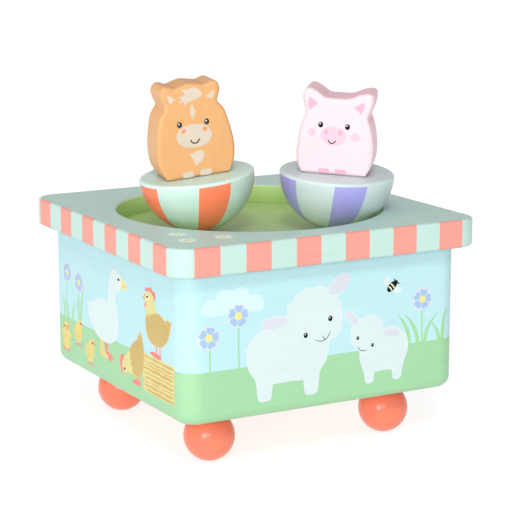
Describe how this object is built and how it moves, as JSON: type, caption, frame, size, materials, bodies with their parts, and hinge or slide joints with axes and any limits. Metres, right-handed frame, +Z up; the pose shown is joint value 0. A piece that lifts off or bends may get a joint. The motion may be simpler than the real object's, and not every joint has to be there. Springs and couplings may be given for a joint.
{
  "type": "wind-up music box with magnetic dancing figures",
  "caption": "Square painted wooden music box on ball feet; wooden animals on half-ball bases turn in a round recess in the lid, driven by magnets and a wound spring.",
  "frame": {"origin": "on the table, under the middle of the square case", "axes": "+Z up; -Y out of the long painted front wall with the sheep; -X out of the wall with the goose and hens"},
  "size_m": [0.11, 0.11, 0.1176],
  "materials": {
    "painted_sky": "satin paint, pale sky blue above pale grass green",
    "painted_mint": "satin paint, mint with coral stripes round the edge",
    "painted_green": "satin paint, leaf green",
    "painted_coral": "gloss paint, coral",
    "painted_tan": "satin paint, tan with cream marks",
    "painted_pink": "satin paint, very pale pink",
    "painted_purple": "satin paint, mint with lilac stripes",
    "bare_wood": "bare beech",
    "panel_wood": "bare plywood",
    "cast_metal": "bead-blasted casting",
    "brass": "turned brass",
    "steel": "ground steel",
    "magnet": "nickel-plated magnet",
    "dark_plastic": "moulded"
  },
  "bodies": {
    "case": {"front_wall": "painted_sky", "back_wall": "painted_sky", "left_wall": "painted_sky", "right_wall": "painted_sky", "lid": "painted_mint", "dance_floor": "painted_green", "lid_dowel_front_left": "bare_wood", "lid_dowel_back_left": "bare_wood", "lid_dowel_front_right": "bare_wood", "lid_dowel_back_right": "bare_wood", "bottom_panel": "panel_wood", "corner_block_front_left": "bare_wood", "corner_block_front_right": "bare_wood", "corner_block_back_left": "bare_wood", "corner_block_back_right": "bare_wood", "foot_front_left": "painted_coral", "foot_front_right": "painted_coral", "foot_back_left": "painted_coral", "foot_back_right": "painted_coral", "foot_dowel_front_left": "bare_wood", "foot_dowel_front_right": "bare_wood", "foot_dowel_back_left": "bare_wood", "foot_dowel_back_right": "bare_wood", "bedplate": "cast_metal", "plate_screw_1": "steel", "plate_screw_2": "steel", "plate_screw_3": "steel", "barrel_bridge": "cast_metal", "comb": "steel", "comb_base": "cast_metal", "comb_screw_1": "steel", "comb_screw_2": "steel", "cylinder_bracket": "cast_metal", "governor_frame": "cast_metal"},
    "key": {"winding_key": "brass", "winding_arbor": "steel"},
    "turntable": {"spring_barrel": "brass", "mainspring": "steel", "magnet_carrier": "bare_wood"},
    "cylinder": {"pinned_cylinder": "brass"},
    "governor_shaft": {"governor_wheel": "brass"},
    "fan": {"governor_fan": "brass"},
    "horse_magnet": {"horse_magnet_cup": "dark_plastic", "horse_drive_magnet": "magnet"},
    "horse": {"horse_base": "painted_coral", "horse_base_magnet": "magnet", "horse_dowel": "bare_wood", "horse_cutout": "painted_tan"},
    "pig_magnet": {"pig_magnet_cup": "dark_plastic", "pig_drive_magnet": "magnet"},
    "pig": {"pig_base": "painted_purple", "pig_base_magnet": "magnet", "pig_dowel": "bare_wood", "pig_cutout": "painted_pink"}
  },
  "joints": [
    {"name": "key_turn", "type": "hinge", "parent": "case", "child": "key", "pos_m": [0, 0, 0.012], "axis": [0, 0, 1], "continuous": true},
    {"name": "barrel_turn", "type": "hinge", "parent": "case", "child": "turntable", "pos_m": [0, 0, 0.032], "axis": [0, 0, 1], "continuous": true},
    {"name": "cylinder_turn", "type": "hinge", "parent": "case", "child": "cylinder", "pos_m": [0.025, 0, 0.0434], "axis": [1, 0, 0], "continuous": true},
    {"name": "governor_shaft_turn", "type": "hinge", "parent": "case", "child": "governor_shaft", "pos_m": [0.03, 0.012, 0.0434], "axis": [1, 0, 0], "continuous": true},
    {"name": "fan_turn", "type": "hinge", "parent": "case", "child": "fan", "pos_m": [0.0278, 0.0175, 0.0434], "axis": [0, 0, 1], "continuous": true},
    {"name": "horse_spin", "type": "hinge", "parent": "turntable", "child": "horse_magnet", "pos_m": [-0.02, -0.0007, 0.062], "axis": [0, 0, 1], "continuous": true},
    {"name": "horse_tilt", "type": "hinge", "parent": "horse_magnet", "child": "horse", "pos_m": [-0.02, -0.0007, 0.0859], "axis": [0.0767, -0.9971, 0], "range_deg": [-18, 5], "stiffness_Nm_per_rad": 0.02},
    {"name": "pig_spin", "type": "hinge", "parent": "turntable", "child": "pig_magnet", "pos_m": [0.0218, -0.0197, 0.062], "axis": [0, 0, 1], "continuous": true},
    {"name": "pig_tilt", "type": "hinge", "parent": "pig_magnet", "child": "pig", "pos_m": [0.0218, -0.0197, 0.0859], "axis": [0.9933, 0.1155, 0], "range_deg": [-17, 7], "stiffness_Nm_per_rad": 0.02}
  ],
  "couplings": [
    {"joint": "cylinder_turn", "follows": "barrel_turn", "ratio": 3},
    {"joint": "governor_shaft_turn", "follows": "barrel_turn", "ratio": -9},
    {"joint": "fan_turn", "follows": "barrel_turn", "ratio": 144}
  ]
}
